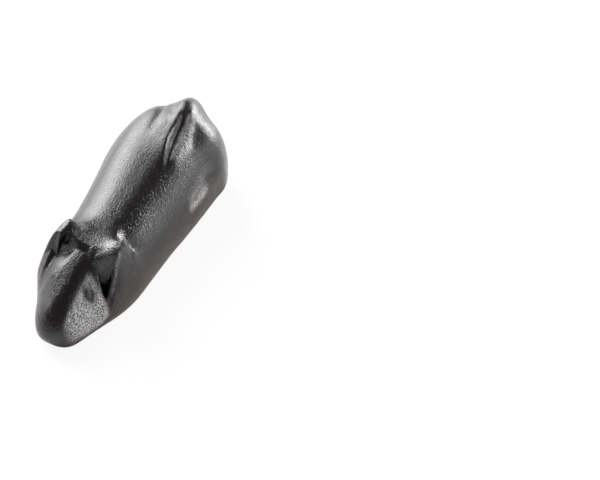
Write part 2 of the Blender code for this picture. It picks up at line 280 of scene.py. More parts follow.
def body_height(x, s):
    rounding = end_rounding(s)
    half_width = np.maximum(rounding * curve_through(HALF_WIDTH, s), 1e-6)
    base = widest_height(s)
    rise = rounding * (curve_through(BACK_HEIGHT, s) - base)
    radius = RIDGE_RADIUS * rounding
    across = np.sqrt(x * x + radius * radius) - radius
    full = np.sqrt(half_width * half_width + radius * radius) - radius
    t = np.clip(across / np.maximum(full, 1e-9), 0, 1)
    fuller = RIGHT_CHEEK * bell(s - CHEEK_PLACE, CHEEK_LENGTH) * (1 - smooth_step(*CHEEK_EDGE, x))
    top = curve_through(TOP_EXPONENT, s) + fuller
    side = curve_through(SIDE_EXPONENT, s)
    return base + rise * (1 - t ** top) ** (1 / side)


print("back height over the middle", round(float(body_height(0.0, LENGTH / 2)), 2), "mm")

# %% [markdown]
# The ears are cups, in which a rim, a crest, an inner face and a pocket run into each
# other. Where two such forms meet, the higher one shows. A plain maximum would leave a
# hard seam there, so a soft maximum rounds it over a chosen radius.

# %% Blending tools


def soft_min(a, b, radius):
    h = np.clip(0.5 + 0.5 * (b - a) / radius, 0, 1)
    return b * (1 - h) + a * h - radius * h * (1 - h)


def soft_max(a, b, radius):
    return -soft_min(-a, -b, radius)


def rounded(distance, radius):
    """A straight fall whose start is rounded off."""
    return np.sqrt(np.maximum(distance, 0) ** 2 + radius ** 2) - radius


print("where two heights of 1 mm meet, the soft maximum is", round(float(soft_max(1, 1, 0.4)), 2), "mm")

# %% [markdown]
# A rim climbs from each cheek to the ear's tip, and a crest joins both tips over the
# head. Each is a line in space, so each function gives a place and a height.

# %% Ear rim and crest
EAR_TIP_X = 3.6
EAR_TIP_PLACE = 11.9
EAR_TIP_HEIGHT = 10.2
RIM_END_X = 4.25
RIM_END_PLACE = 6.4
RIM_END_HEIGHT = 2.8
RIM_BOW = 0.9
CREST_PLACE = 11.0
CREST_HEIGHT = 9.0
CREST_RADIUS = 1.0
CREST_TIP_BLEND = 0.1
EAR_SIDE_SLANT = 0.6
EAR_SIDE_RADIUS = 0.5


def ear_rim(s):
    """Place across and height of the rim that climbs from the cheek to the ear's tip."""
    t = (s - RIM_END_PLACE) / (EAR_TIP_PLACE - RIM_END_PLACE)
    inside = np.clip(t, 0, 1)
    bow = RIM_BOW * 4 * inside * (1 - inside)
    across = RIM_END_X + (EAR_TIP_X - RIM_END_X) * inside
    height = RIM_END_HEIGHT + (EAR_TIP_HEIGHT - RIM_END_HEIGHT) * np.minimum(t, 1) + bow
    return across, height


def ear_crest(a):
    """Place along and height of the crest that joins both ears over the head."""
    outward = rounded(a, CREST_RADIUS) / rounded(EAR_TIP_X, CREST_RADIUS)
    outward = soft_min(outward, 1.0, CREST_TIP_BLEND)
    place = CREST_PLACE + (EAR_TIP_PLACE - CREST_PLACE) * outward
    place -= EAR_SIDE_SLANT * rounded(a - EAR_TIP_X, EAR_SIDE_RADIUS)
    return place, CREST_HEIGHT + (EAR_TIP_HEIGHT - CREST_HEIGHT) * outward


print("the ear rim is", [round(float(v), 1) for v in ear_rim(9.0)], "mm out and up, 9 mm from the nose")

# %% [markdown]
# A pocket is pressed in front of each ear. Its front edge on the left is a sharp lip
# against the snout, which shows as the crispest line of the face. On the mouse's right the
# mould left a shallower pocket with a soft lip. One function makes both, and is told the
# side as a share: 1 on the left, 0 on the right.

# %% Ear pockets
POCKET_DEPTH = 2.8
RIGHT_POCKET = 0.4
POCKET_END = 6.3
POCKET_SLANT = 0.92
POCKET_BACK = 8.9
POCKET_BACK_BLEND = 0.4
POCKET_INNER_EDGE = (0.6, 1.9)
POCKET_OUTER_EDGE = (-0.8, 0.2)
SHARP_LIP_RUN = 0.8
SOFT_LIP_START = -3.5
SOFT_LIP_RUN = 2.0


def ear_pocket(a, s, left, rim_x):
    """Depth of the pocket in front of the ear, whose lip is sharp on the left ear only."""
    behind_lip = s - POCKET_END - POCKET_SLANT * (RIM_END_X - a)
    lip_run = SOFT_LIP_RUN + (SHARP_LIP_RUN - SOFT_LIP_RUN) * left
    depth = POCKET_DEPTH * (RIGHT_POCKET + (1 - RIGHT_POCKET) * left)
    depth = depth * smooth_step(SOFT_LIP_START * (1 - left), lip_run, behind_lip)
    depth *= smooth_step(*POCKET_INNER_EDGE, a) * (1 - smooth_step(*POCKET_OUTER_EDGE, a - rim_x))
    return depth * (1 - smooth_step(-POCKET_BACK_BLEND, POCKET_BACK_BLEND, s - POCKET_BACK))


pocket = ear_pocket(2.6, 8.6, 1, ear_rim(8.6)[0])
print("the left pocket is", round(float(pocket), 1), "mm deep near its back")

# %% [markdown]
# Between rim and crest the ear's inner face bows down forwards and ends in a steep wall
# over the pocket. The left ear has a low mound inside it and a small knob at its tip. The
# right ear's rim is rolled outwards instead.

# %% Ear cups
RIM_RADIUS = 0.7
RIM_INNER_SLOPE = 4.5
FACE_TOP = 1.0
FACE_BOW = 0.16
WALL_NEAR = 1.3
WALL_FAR = 2.75
WALL_DROP = 2.0
LEFT_WALL_REACH = (0.3, 1.6)
OUTER_WALL_REACH = (2.6, 3.4)
MOUND_HEIGHT = 0.3
MOUND_X = 3.2
MOUND_WIDTH = 1.4
MOUND_PLACE = 10.6
MOUND_LENGTH = 1.3
FACE_SLANT = 0.3
FACE_SLANT_X = 1.8
RIM_ROLL = 0.35
ROLL_ACROSS = (-0.6, 0.3)
ROLL_ALONG = (8.0, 9.5)
KNOB_HEIGHT = 0.5
KNOB_PLACE = 11.4
KNOB_RADIUS = 0.4
KNOB_LENGTH = 0.7
KNOB_OFFSET = 0.2
KNOB_GROOVE = 0.2
KNOB_GROOVE_WIDTH = 0.17
KNOB_GROOVE_LENGTH = 0.8
GROOVE_BESIDE_KNOB = -0.35
CUP_BLEND = 0.5


def ear_cup(a, s, left, rim_x, rim_height, crest_place, crest_height):
    """Inner face of the ear, with the rim's wall and the knob at the tip."""
    # The face bows down forwards, and ends in a steep wall that is nearer on the right
    reach = np.maximum(smooth_step(*LEFT_WALL_REACH, a) * left, smooth_step(*OUTER_WALL_REACH, a))
    slanted = crest_place + FACE_SLANT * np.maximum(a - FACE_SLANT_X, 0)
    ahead = np.maximum(slanted - FACE_TOP - s, 0)
    past_wall = np.maximum(slanted - WALL_NEAR - (WALL_FAR - WALL_NEAR) * reach - s, 0)
    face = crest_height - FACE_BOW * ahead ** 2 - WALL_DROP * past_wall ** 2
    face += MOUND_HEIGHT * left * bell(a - MOUND_X, MOUND_WIDTH) * bell(s - MOUND_PLACE, MOUND_LENGTH)
    wall = rim_height - RIM_INNER_SLOPE * rounded(rim_x - a, RIM_RADIUS)
    knob = KNOB_HEIGHT * bell(a - rim_x - KNOB_OFFSET, KNOB_RADIUS) * bell(s - KNOB_PLACE, KNOB_LENGTH)
    groove = KNOB_GROOVE * bell(a - rim_x - GROOVE_BESIDE_KNOB, KNOB_GROOVE_WIDTH)
    knob -= groove * bell(s - KNOB_PLACE, KNOB_GROOVE_LENGTH)
    roll = RIM_ROLL * (1 - left) * smooth_step(*ROLL_ACROSS, a - rim_x) * smooth_step(*ROLL_ALONG, s)
    return soft_max(face, wall, CUP_BLEND) + knob * left - roll


cup = ear_cup(2.0, 10.0, 1, *ear_rim(10.0), *ear_crest(2.0))
print("the left ear's inner face is", round(float(cup), 1), "mm up at its middle")

# %% [markdown]
# The ears rise out of the body by a soft maximum, which is tight at the pocket and wide
# at the nape. Their outer sides curve into the body's sides and their backs into the nape,
# and behind each a soft dip parts it from the shoulder.

# %% Ears on the body
DIP_DEPTH = 0.35
DIP_X = 4.2
DIP_WIDTH = 1.2
DIP_PLACE = 13.0
DIP_LENGTH = 0.8
EAR_SIDE_RUN = 1.8
EAR_BACK_START = -0.5
EAR_BACK_RUN = 3.2
TIP_BACK_RUN = 1.0
TIP_BACK_ACROSS = (1.5, 3.4)
NAPE_BLEND = 1.9
POCKET_BLEND = 0.5
RIGHT_POCKET_BLEND = 1.0
TIGHT_ACROSS = (0.8, 2.0)
TIGHT_ALONG = (-2.6, -1.2)
MIDDLE_BLEND = 1.5


def with_ears(x, s, body):
    """Raise both ears over the body and press the pocket in front of each."""
    a = np.abs(x)
    left = smooth_step(-MIDDLE_BLEND, MIDDLE_BLEND, x)
    rim_x, rim_height = ear_rim(s)
    crest_place, crest_height = ear_crest(a)
    cup = ear_cup(a, s, left, rim_x, rim_height, crest_place, crest_height)
    hollowed = body - ear_pocket(a, s, left, rim_x)
    in_pocket = smooth_step(*TIGHT_ACROSS, a) * (1 - smooth_step(*TIGHT_ALONG, s - crest_place))
    tight = RIGHT_POCKET_BLEND + (POCKET_BLEND - RIGHT_POCKET_BLEND) * left
    blend = NAPE_BLEND + (tight - NAPE_BLEND) * in_pocket
    rise = soft_max(hollowed, cup, blend) - body
    # The outer side curves into the body's side, and the back into the nape
    rise *= 1 - smooth_step(0, EAR_SIDE_RUN, a - rim_x)
    back_run = EAR_BACK_RUN + (TIP_BACK_RUN - EAR_BACK_RUN) * smooth_step(*TIP_BACK_ACROSS, a)
    rise *= 1 - smooth_step(EAR_BACK_START, back_run, s - crest_place)
    # A soft dip parts the ear from the shoulder
    return body + rise - DIP_DEPTH * bell(a - DIP_X, DIP_WIDTH) * bell(s - DIP_PLACE, DIP_LENGTH)


ear_tip = with_ears(EAR_TIP_X, EAR_TIP_PLACE, body_height(EAR_TIP_X, EAR_TIP_PLACE))
print("the left ear's tip is", round(float(ear_tip), 1), "mm up")

# %% [markdown]
# The eyes are low round bumps, each in a shallow ring. They could be pieces of their own,
# but on the sweet they are moulded with the body, so they are relief on its skin. The
# right one is fainter.

# %% Eyes
EYE_X = 2.3
EYE_PLACE = 5.6
EYE_RADIUS = 0.42
EYE_HEIGHT = 0.12
EYE_RING = 0.55
RING_WIDTH = 0.2
RING_SHARE = 0.5
RIGHT_EYE = 0.5


def eyes(x, s):
    """A small round bump in a shallow ring on each side of the snout."""
    distance = np.hypot(np.abs(x) - EYE_X, s - EYE_PLACE)
    bump = EYE_HEIGHT * np.exp(-((distance / EYE_RADIUS) ** 3))
    eye = bump - RING_SHARE * EYE_HEIGHT * bell(distance - EYE_RING, RING_WIDTH)
    return eye * np.where(x > 0, 1.0, RIGHT_EYE)


print("the left eye stands", round(float(eyes(EYE_X, EYE_PLACE)), 2), "mm out of the skin")

# %% [markdown]
# The tail lies over the rump: a crest that slants across and falls off steeply on its
# left, a groove beside it and a lower fold beyond, which all run into a thick root. A
# separate rope would leave a seam that the moulded sweet doesn't have, so the tail is
# relief too, laid along a few slanting lines. Another groove runs down the rear.

# %% Tail
RIDGE_POWER = 2.2
TAIL_CREST = [(22, 2.2), (24.6, 1.55), (26.6, 1.05), (28, 0.9), (30, 0.6), (33, -0.3), (36, -0.2)]
TAIL_TIP = 22.3
TAIL_FULL = 26.5
TAIL_HEIGHT = 0.55
TAIL_RUN = 3.0
TAIL_RISE_POWER = 1.6
TAIL_FALL = (-0.05, 0.8)
CREST_FADE = 29.2
CREST_END = 31.2
GROOVE_DEPTH = 0.15
GROOVE_OFFSET = 0.8
GROOVE_HALF_WIDTH = 0.45
FOLD_LINE = [(24, 2.9), (26.5, 2.7), (28.5, 2.5), (30, 2.05), (31.5, 1.5)]
FOLD_EDGE = [(24, 3.6), (26.5, 4.05), (28, 3.6), (29.6, 2.7), (31.5, 1.9)]
FOLD_FRONT = 24.2
FOLD_FULL = 25.2
FOLD_FADE = 30.0
FOLD_END = 31.5
FOLD_HEIGHT = 0.25
FOLD_RISE = (-0.4, 0.1)
FOLD_FALL = (-0.7, 0.3)
FOLD_LIP = 0.12
FOLD_LIP_OFFSET = 0.15
FOLD_LIP_WIDTH = 0.25
ROOT_START = 28.0
ROOT_FULL = 32.3
ROOT_FADE = 33.5
ROOT_HEIGHT = 1.35
ROOT_OFFSET = 0.65
ROOT_LEFT_WIDTH = 1.8
ROOT_RIGHT_WIDTH = 1.3
RIGHT_HOLLOW_DEPTH = 0.2
RIGHT_HOLLOW_OFFSET = -2.4
RIGHT_HOLLOW_WIDTH = 0.7
RIGHT_HOLLOW_ALONG = (25, 30)
REAR_GROOVE_START = 33.0
REAR_GROOVE_FULL = 34.5
REAR_GROOVE_X = -1.0
REAR_GROOVE_DEPTH = 0.4
REAR_GROOVE_WIDTH = 0.2
REAR_GROOVE_WIDENING = 0.4


def ridge(d, right_width, left_width):
    """A rounded ridge whose flanks have their own widths. d is positive to the left."""
    width = np.where(d < 0, right_width, left_width)
    return np.exp(-np.abs(d / width) ** RIDGE_POWER)


def tail(x, s):
    """The tail lies over the rump as a crest, a groove and a lower fold."""
    d = x - curve_through(TAIL_CREST, s)
    root = smooth_step(ROOT_START, ROOT_FULL, s)
    crest = TAIL_HEIGHT * np.clip(1 + d / TAIL_RUN, 0, 1) ** TAIL_RISE_POWER
    crest = crest * (1 - smooth_step(*TAIL_FALL, d))
    crest *= 1 - smooth_step(CREST_FADE, CREST_END, s)
    groove = GROOVE_DEPTH * bell(d - GROOVE_OFFSET, GROOVE_HALF_WIDTH) * (1 - root)
    relief = (crest - groove) * smooth_step(TAIL_TIP, TAIL_FULL, s)
    # The fold is a low terrace with a lip along the groove
    from_line = x - curve_through(FOLD_LINE, s)
    from_edge = x - curve_through(FOLD_EDGE, s)
    fold = FOLD_HEIGHT * smooth_step(*FOLD_RISE, from_line) * (1 - smooth_step(*FOLD_FALL, from_edge))
    fold += FOLD_LIP * bell(from_line - FOLD_LIP_OFFSET, FOLD_LIP_WIDTH)
    relief += fold * smooth_step(FOLD_FRONT, FOLD_FULL, s) * (1 - smooth_step(FOLD_FADE, FOLD_END, s))
    # The root is a thick lump, with a hollow on its right and a groove down the rear
    lump = ROOT_HEIGHT * ridge(d - ROOT_OFFSET, ROOT_RIGHT_WIDTH, ROOT_LEFT_WIDTH) * root
    relief += lump * (1 - smooth_step(ROOT_FADE, LENGTH, s))
    hollow = RIGHT_HOLLOW_DEPTH * bell(d - RIGHT_HOLLOW_OFFSET, RIGHT_HOLLOW_WIDTH)
    relief -= hollow * smooth_step(*RIGHT_HOLLOW_ALONG, s)
    width = REAR_GROOVE_WIDTH + REAR_GROOVE_WIDENING * smooth_step(REAR_GROOVE_START, LENGTH, s)
    rear = smooth_step(REAR_GROOVE_START, REAR_GROOVE_FULL, s)
    return relief - REAR_GROOVE_DEPTH * bell(x - REAR_GROOVE_X, width) * rear


print("tail relief at its root", round(float(tail(np.array(0.6), np.array(31.5))), 2), "mm")

# %% [markdown]
# A crease runs along each thigh, with a thin lip on both sides of it. Behind the left one
# the haunch swells. Both are relief on the skin again.

# %% Thighs and haunch
THIGH_LINE = [(22, 6.2), (27, 6.35), (29, 6.2)]
THIGH_FRONT = 21.5
THIGH_FULL = 24.5
THIGH_FADE = 27.5
THIGH_END = 29.5
THIGH_STEP = 0.05
THIGH_STEP_RUN = 0.5
THIGH_LIP = 0.15
LIP_OFFSET = 0.4
LIP_WIDTH = 0.22
CREASE_SHARE = 1.6
RIGHT_THIGH = 0.6
HAUNCH_LINE = [(1.5, 33.4), (2.2, 32.5), (3.0, 31.6), (3.8, 31.1), (5, 30.9), (7, 30.5)]
HAUNCH_HEIGHT = 0.85
HAUNCH_FRONT_WIDTH = 2.0
HAUNCH_REAR_WIDTH = 4.2
HAUNCH_ACROSS = (1.6, 4.6)
REAR_FADE = 0.35


def thighs(x, s):
    """A lipped crease along each side, and the left haunch swelling behind it."""
    a = np.abs(x)
    d = a - curve_through(THIGH_LINE, s)
    step = THIGH_STEP * smooth_step(-THIGH_STEP_RUN, THIGH_STEP_RUN, d)
    lips = bell(d + LIP_OFFSET, LIP_WIDTH) + bell(d - LIP_OFFSET, LIP_WIDTH)
    lips = lips - CREASE_SHARE * bell(d, LIP_WIDTH)
    crease = (step + THIGH_LIP * lips) * np.where(x > 0, 1.0, RIGHT_THIGH)
    crease *= smooth_step(THIGH_FRONT, THIGH_FULL, s) * (1 - smooth_step(THIGH_FADE, THIGH_END, s))
    behind = s - curve_through(HAUNCH_LINE, a)
    width = np.where(behind < 0, HAUNCH_FRONT_WIDTH, HAUNCH_REAR_WIDTH)
    haunch = HAUNCH_HEIGHT * bell(behind, width) * smooth_step(*HAUNCH_ACROSS, x)
    return crease + haunch * smooth_step(0, REAR_FADE, end_rounding(s))


print("the left haunch swells by", round(float(thighs(5.0, 32.0)), 2), "mm")

# %% [markdown]
# Now the heights become a closed skin. Each point of a sphere, with its poles at the nose
# and the rear, is carried to its place: the upper half to the heights above, the lower
# half to a rounded edge and the flat underside. Low relief stands out at right angles to
# the plain body, and the ears stand straight up. A slight bend sways the whole mouse
# sideways.

# %% From sphere to mouse
UNDERSIDE_EXPONENT = 3.2
UNDERSIDE_CUT = 0.4
UNDERSIDE_BLEND = (-0.05, 0.5)
EAR_SEAM = 0.22
RELIEF_FADE = -0.8
BEND = [(0, -0.11), (4, -0.16), (8, -0.41), (12, -0.01), (16, 0.09), (20, -0.01), (28, -0.21),
        (36, -0.01)]


def outward(x, s):
    """Direction that points out of the plain body at each place of the plan."""
    step = 0.02
    across = (body_height(x + step, s) - body_height(x - step, s)) / (2 * step)
    s_low, s_high = np.maximum(s - step, 0), np.minimum(s + step, LENGTH)
    along = (body_height(x, s_high) - body_height(x, s_low)) / (s_high - s_low)
    length = np.sqrt(across ** 2 + along ** 2 + 1)
    return -across / length, -along / length, 1 / length


def mouse_surface(unit):
    """Carry points of a unit sphere, whose poles lie along Y, onto the mouse."""
    along = np.clip(unit[:, 1], -1, 1)
    s = LENGTH / 2 * (1 + along)
    rounding = end_rounding(s)
    radial = np.maximum(np.hypot(unit[:, 0], unit[:, 2]), 1e-9)
    cosine, sine = unit[:, 0] / radial, unit[:, 2] / radial
    above = sine > 0
    half_width = rounding * curve_through(HALF_WIDTH, s)
    base = widest_height(s)
    power = UNDERSIDE_EXPONENT
    square = (np.abs(cosine) ** power + np.abs(sine) ** power + 1e-12) ** (-1 / power)
    x = half_width * cosine * np.where(above, 1, square)
    body = body_height(x, s)
    top = body + (with_ears(x, s, body) - body) * smooth_step(0, EAR_SEAM, sine)
    relief = (eyes(x, s) + tail(x, s) + thighs(x, s)) * smooth_step(RELIEF_FADE, 0.0, sine)
    out_x, out_y, out_z = outward(x, s)
    depth = (base + UNDERSIDE_CUT) * smooth_step(*UNDERSIDE_BLEND, rounding)
    under = np.maximum(base + depth * square * sine, 0)
    place_x = x + curve_through(BEND, s) + relief * out_x
    place_y = s - LENGTH / 2 + relief * out_y
    place_z = np.where(above, top + relief * out_z, under)
    return np.stack([place_x, place_y, place_z], axis=1)


nose = mouse_surface(np.array([[0.0, -1.0, 0.0]]))[0]
print("the tip of the nose is at", [round(float(v), 1) for v in nose], "mm")

# %% [markdown]
# An even skin of small squares takes the grain best. Blender's own sphere of rings
# crowds its triangles at two poles. A cube that is halved along its length, cut finely
# all over and pushed out to a sphere has no such poles, so the skin starts from that.

# %% Mouse mesh
LENGTH_CUTS = 1
SKIN_CUTS = 97
bm = bmesh.new()
bmesh.ops.create_cube(bm, size=2)
long_edges = [e for e in bm.edges if abs(e.verts[0].co.y - e.verts[1].co.y) > 1]
bmesh.ops.subdivide_edges(bm, edges=long_edges, cuts=LENGTH_CUTS)
bmesh.ops.subdivide_edges(bm, edges=bm.edges[:], cuts=SKIN_CUTS, use_grid_fill=True)
cube = np.array([v.co[:] for v in bm.verts])
sphere = np.tan(cube * math.pi / 4)
sphere /= np.linalg.norm(sphere, axis=1, keepdims=True)
for vert, place in zip(bm.verts, mouse_surface(sphere)):
    vert.co = place
print("skin of", len(bm.faces), "squares")

# %% [markdown]
# Two edges come out sharper than on the sweet: the back of the left ear and the tail's
# crest. A bevel would need a clean row of edges to work on. Smoothing just the points that
# lie there, many times over, wears them down without one.

# %% Worn edges
WORN_ABOVE = 2.5
WEAR_FACTOR = 0.5
WORN_EAR_X = (3.9, 7.5)
WORN_EAR_PLACE = (11.2, 14.8)
WORN_EAR_TURNS = 60
WORN_TAIL_X = (-0.5, 2.3)
WORN_TAIL_TURNS = 6


def wear(x_range, s_range, turns):
    """Round off the edges of the upper skin within a stretch of the plan."""
    worn = [v for v in bm.verts if v.co.z > WORN_ABOVE and x_range[0] < v.co.x < x_range[1]
            and s_range[0] < v.co.y + LENGTH / 2 < s_range[1]]
    for turn in range(turns):
        bmesh.ops.smooth_vert(bm, verts=worn, factor=WEAR_FACTOR,
                              use_axis_x=True, use_axis_y=True, use_axis_z=True)


wear(WORN_EAR_X, WORN_EAR_PLACE, WORN_EAR_TURNS)
wear(WORN_TAIL_X, (TAIL_TIP, CREST_END), WORN_TAIL_TURNS)
bm.normal_update()
volume = bm.calc_volume(signed=True) / 1000
print("the mouse's volume is", round(volume, 2), "cubic cm")

# %% [markdown]
# Real licorice is never as smooth as its mould's drawing. Its coarsest place is a pale
# patch on the left of the snout, with the smooth black eye in it. The patch's pale specks
# are partly starch dust and partly painted glints, the sparkle of its coarse facets. The
# patch is kept as a mask, a number from 0 to 1 at each point of the skin, and later steps
# read from it where to roughen and where to paint.

# %% Snout patch
PATCH_ACROSS = (1.0, 1.7)
PATCH_BACK = (6.5, 7.3)
PATCH_BACK_SLANT = 0.25
PATCH_ALONG = (0.6, 2.0)
PATCH_ABOVE = (1.0, 2.4)
PATCH_LOW_PLACE = 6.9
PATCH_LOW_HEIGHT = 3.2
PATCH_LOW_SLOPE = 1.1
PATCH_LOW_EDGE = 0.6
EYE_SPOT = 0.75
EYE_SPOT_POWER = 4


def snout_patch(x, s, z):
    """The coarse patch on the left of the snout, but for the eye: 0 to 1. Its pale specks are partly
    starch dust, partly painted glints.
    """
    back = s + PATCH_BACK_SLANT * (x - EYE_X)
    patch = smooth_step(*PATCH_ACROSS, x) * (1 - smooth_step(*PATCH_BACK, back))
    # The low back corner is rounded off
    low = s - PATCH_LOW_PLACE - PATCH_LOW_SLOPE * (z - PATCH_LOW_HEIGHT)
    patch *= 1 - smooth_step(-PATCH_LOW_EDGE, PATCH_LOW_EDGE, low)
    patch *= smooth_step(*PATCH_ABOVE, z) * smooth_step(*PATCH_ALONG, s)
    # The eye stays smooth and black
    from_eye = np.hypot(x - EYE_X, s - EYE_PLACE)
    return patch * (1 - np.exp(-((from_eye / EYE_SPOT) ** EYE_SPOT_POWER)))


places = np.array([v.co[:] for v in bm.verts])
x, s, z = places[:, 0], places[:, 1] + LENGTH / 2, places[:, 2]
patch = snout_patch(x, s, z)
print("the patch covers", int((patch > 0.5).sum()), "points of", len(patch))

# %% [markdown]
# Some edges are coarse as well: the crest of the right ear, the knob on the left one, the
# fold of the tail and the line on the left thigh. Each mask follows a line or a tip that
# the form already has, so it stays in its place when the form changes.

# %% Rough edges
PATCH_ROUGHNESS = 0.55
EAR_ABOVE = 6
ROUGH_CREST_BEHIND = 0.2
ROUGH_CREST_WIDTH = 0.5
ROUGH_CREST_FROM = (0.8, 1.6)
ROUGH_CREST_TO = (3.6, 4.2)
ROUGH_KNOB_AHEAD = 0.3
ROUGH_KNOB_OUT = 0.1
ROUGH_KNOB_LENGTH = 1.1
ROUGH_KNOB_WIDTH = 0.7
ROUGH_FOLD_OUT = 0.2
ROUGH_FOLD_WIDTH = 0.4
ROUGH_FOLD_FRONT = (24.5, 25.5)
ROUGH_FOLD_BACK = (30.5, 31.5)
ROUGH_THIGH = 0.7
THIGH_LINE_IN = 0.1
THIGH_LINE_WIDTH = 0.3
ROUGH_THIGH_FRONT = (22.8, 23.8)
ROUGH_THIGH_BACK = (26.8, 27.6)
THIGH_FOOT = (4.2, 5.2)


def rough_places(x, s, z):
    """0 on the smooth skin, up to 1 where the edges are coarse."""
    on_ear = z > EAR_ABOVE
    crest_place = ear_crest(np.abs(x))[0]
    crest = bell(s - crest_place - ROUGH_CREST_BEHIND, ROUGH_CREST_WIDTH)
    crest = crest * smooth_step(*ROUGH_CREST_FROM, -x) * (1 - smooth_step(*ROUGH_CREST_TO, np.abs(x)))
    knob = bell(s - KNOB_PLACE + ROUGH_KNOB_AHEAD, ROUGH_KNOB_LENGTH)
    knob = knob * bell(x - EAR_TIP_X - ROUGH_KNOB_OUT, ROUGH_KNOB_WIDTH)
    fold = bell(x - curve_through(FOLD_LINE, s) - ROUGH_FOLD_OUT, ROUGH_FOLD_WIDTH)
    fold = fold * smooth_step(*ROUGH_FOLD_FRONT, s) * (1 - smooth_step(*ROUGH_FOLD_BACK, s))
    thigh = ROUGH_THIGH * bell(x - curve_through(THIGH_LINE, s) + THIGH_LINE_IN, THIGH_LINE_WIDTH)
    thigh = thigh * smooth_step(*ROUGH_THIGH_FRONT, s)
    thigh *= (1 - smooth_step(*ROUGH_THIGH_BACK, s)) * smooth_step(*THIGH_FOOT, z)
    return np.clip(np.maximum.reduce([crest * on_ear, knob * on_ear, fold, thigh]), 0, 1)


edges = rough_places(x, s, z)
rough = np.maximum(edges, PATCH_ROUGHNESS * patch)
print("rough at", int((rough > 0.5).sum()), "points")

# %% [markdown]
# Pale specks are painted lightly on all the rough places, and thicker on the snout, the
# fold, the thigh line, the left ear's rim and the spot inside that ear. On the snout they
# are partly starch dust and partly painted glints. On the edges, the fold and the thigh line
# they are painted glints, and on the rim and inside the ear they are painted highlights: the
# rim's bright line and the bright spot. This second mask says how thick.

# %% Dust and painted glints
# Shares and places of the painted glints on the edges, fold and thigh line, and of the painted
# highlights on the left ear's rim and bowl
EDGE_GLINT_PAINT = 0.15
FOLD_GLINT_PAINT = 0.5
FOLD_GLINT_OUT = 0.5
FOLD_GLINT_WIDTH = 0.6
FOLD_GLINT_FRONT = (24.0, 24.8)
FOLD_GLINT_BACK = (29.5, 30.8)
THIGH_GLINT_PAINT = 0.75
THIGH_GLINT_FRONT = (22.8, 23.6)
THIGH_GLINT_BACK = (26.4, 27.4)
RIM_HIGHLIGHT_PAINT = 0.5
RIM_HIGHLIGHT_OUT = 0.05
RIM_HIGHLIGHT_WIDTH = 0.2
RIM_HIGHLIGHT_FRONT = (7.2, 7.9)
RIM_HIGHLIGHT_BACK = (9.8, 10.4)
RIM_HIGHLIGHT_ABOVE = 2
BOWL_HIGHLIGHT_PAINT = 0.5
BOWL_X = 2.1
BOWL_PLACE = 10.0
BOWL_RADIUS = 1.0


def painted_highlight_places(x, s, z):
    """Painted glints on the tail's fold and the thigh line, and painted highlights on and in the left
    ear.
    """
    # Painted glints along the tail's fold and the thigh line
    fold = bell(x - curve_through(FOLD_LINE, s) - FOLD_GLINT_OUT, FOLD_GLINT_WIDTH)
    fold = fold * smooth_step(*FOLD_GLINT_FRONT, s) * (1 - smooth_step(*FOLD_GLINT_BACK, s))
    thigh = bell(x - curve_through(THIGH_LINE, s) + THIGH_LINE_IN, THIGH_LINE_WIDTH)
    thigh = thigh * smooth_step(*THIGH_GLINT_FRONT, s)
    thigh *= (1 - smooth_step(*THIGH_GLINT_BACK, s)) * smooth_step(*THIGH_FOOT, z)
    # Painted highlight: the bright line along the left ear's rim
    rim = bell(x - ear_rim(s)[0] - RIM_HIGHLIGHT_OUT, RIM_HIGHLIGHT_WIDTH) * smooth_step(*RIM_HIGHLIGHT_FRONT, s)
    rim = rim * (1 - smooth_step(*RIM_HIGHLIGHT_BACK, s)) * (z > RIM_HIGHLIGHT_ABOVE)
    # Painted highlight: the bright spot inside the left ear's bowl
    bowl = bell(np.hypot(x - BOWL_X, s - BOWL_PLACE), BOWL_RADIUS) * (z > EAR_ABOVE)
    return np.maximum.reduce([FOLD_GLINT_PAINT * fold, THIGH_GLINT_PAINT * thigh, RIM_HIGHLIGHT_PAINT * rim, BOWL_HIGHLIGHT_PAINT * bowl])


# Pale specks: partly starch dust on the snout patch, painted glints on the rough edges, the fold and the
# thigh line, and painted highlights on the left ear
dust_and_glints = np.maximum.reduce([patch, EDGE_GLINT_PAINT * edges, painted_highlight_places(x, s, z)])
print("dusty at", int((dust_and_glints > 0.25).sum()), "points")

# %% [markdown]
# The skin has slow waves from shrinking, a pebbly grain from the starch, and coarse bumps
# at the rough places. A displacement in the material would show them in the picture
# alone, and a bump wouldn't reach the outline. So they are moved into the mesh itself,
# all but on the underside, which stays flat.

# %% Skin grain
NOISE_SHIFT = (7.3, 3.1, 5.7)
OFF_BASE = (0.05, 0.8)
WAVE_SIZE = 3.5
WAVE_HEIGHT = 0.05
GRAIN_SIZE = 0.34
GRAIN_HEIGHT = 0.009
ROUGH_SIZE = 0.32
ROUGH_HEIGHT = 0.1


def field(points, size, seed):
    """Smooth noise from -1 to 1 with bumps of the given size."""
    shift = Vector([seed * amount for amount in NOISE_SHIFT])
    return np.array([noise.noise(Vector(p) / size + shift) for p in points])


normals = np.array([v.normal[:] for v in bm.verts])
off_base = smooth_step(*OFF_BASE, z)
relief = WAVE_HEIGHT * field(places, WAVE_SIZE, 1)
relief += GRAIN_HEIGHT * field(places, GRAIN_SIZE, 2)
relief += ROUGH_HEIGHT * rough * field(places, ROUGH_SIZE, 3)
for vert, place in zip(bm.verts, (places + normals * (relief * off_base)[:, None]) * MM):
    vert.co = place
print("relief from", round(relief.min(), 3), "to", round(relief.max(), 3), "mm")

# %% [markdown]
# The finished skin becomes an object with smooth shading. Both masks go with it as numbers
# on each point, called rough and dust_and_glints, because the material can read those. The
# second holds the pale specks, which are partly starch dust and partly painted glints and highlights.

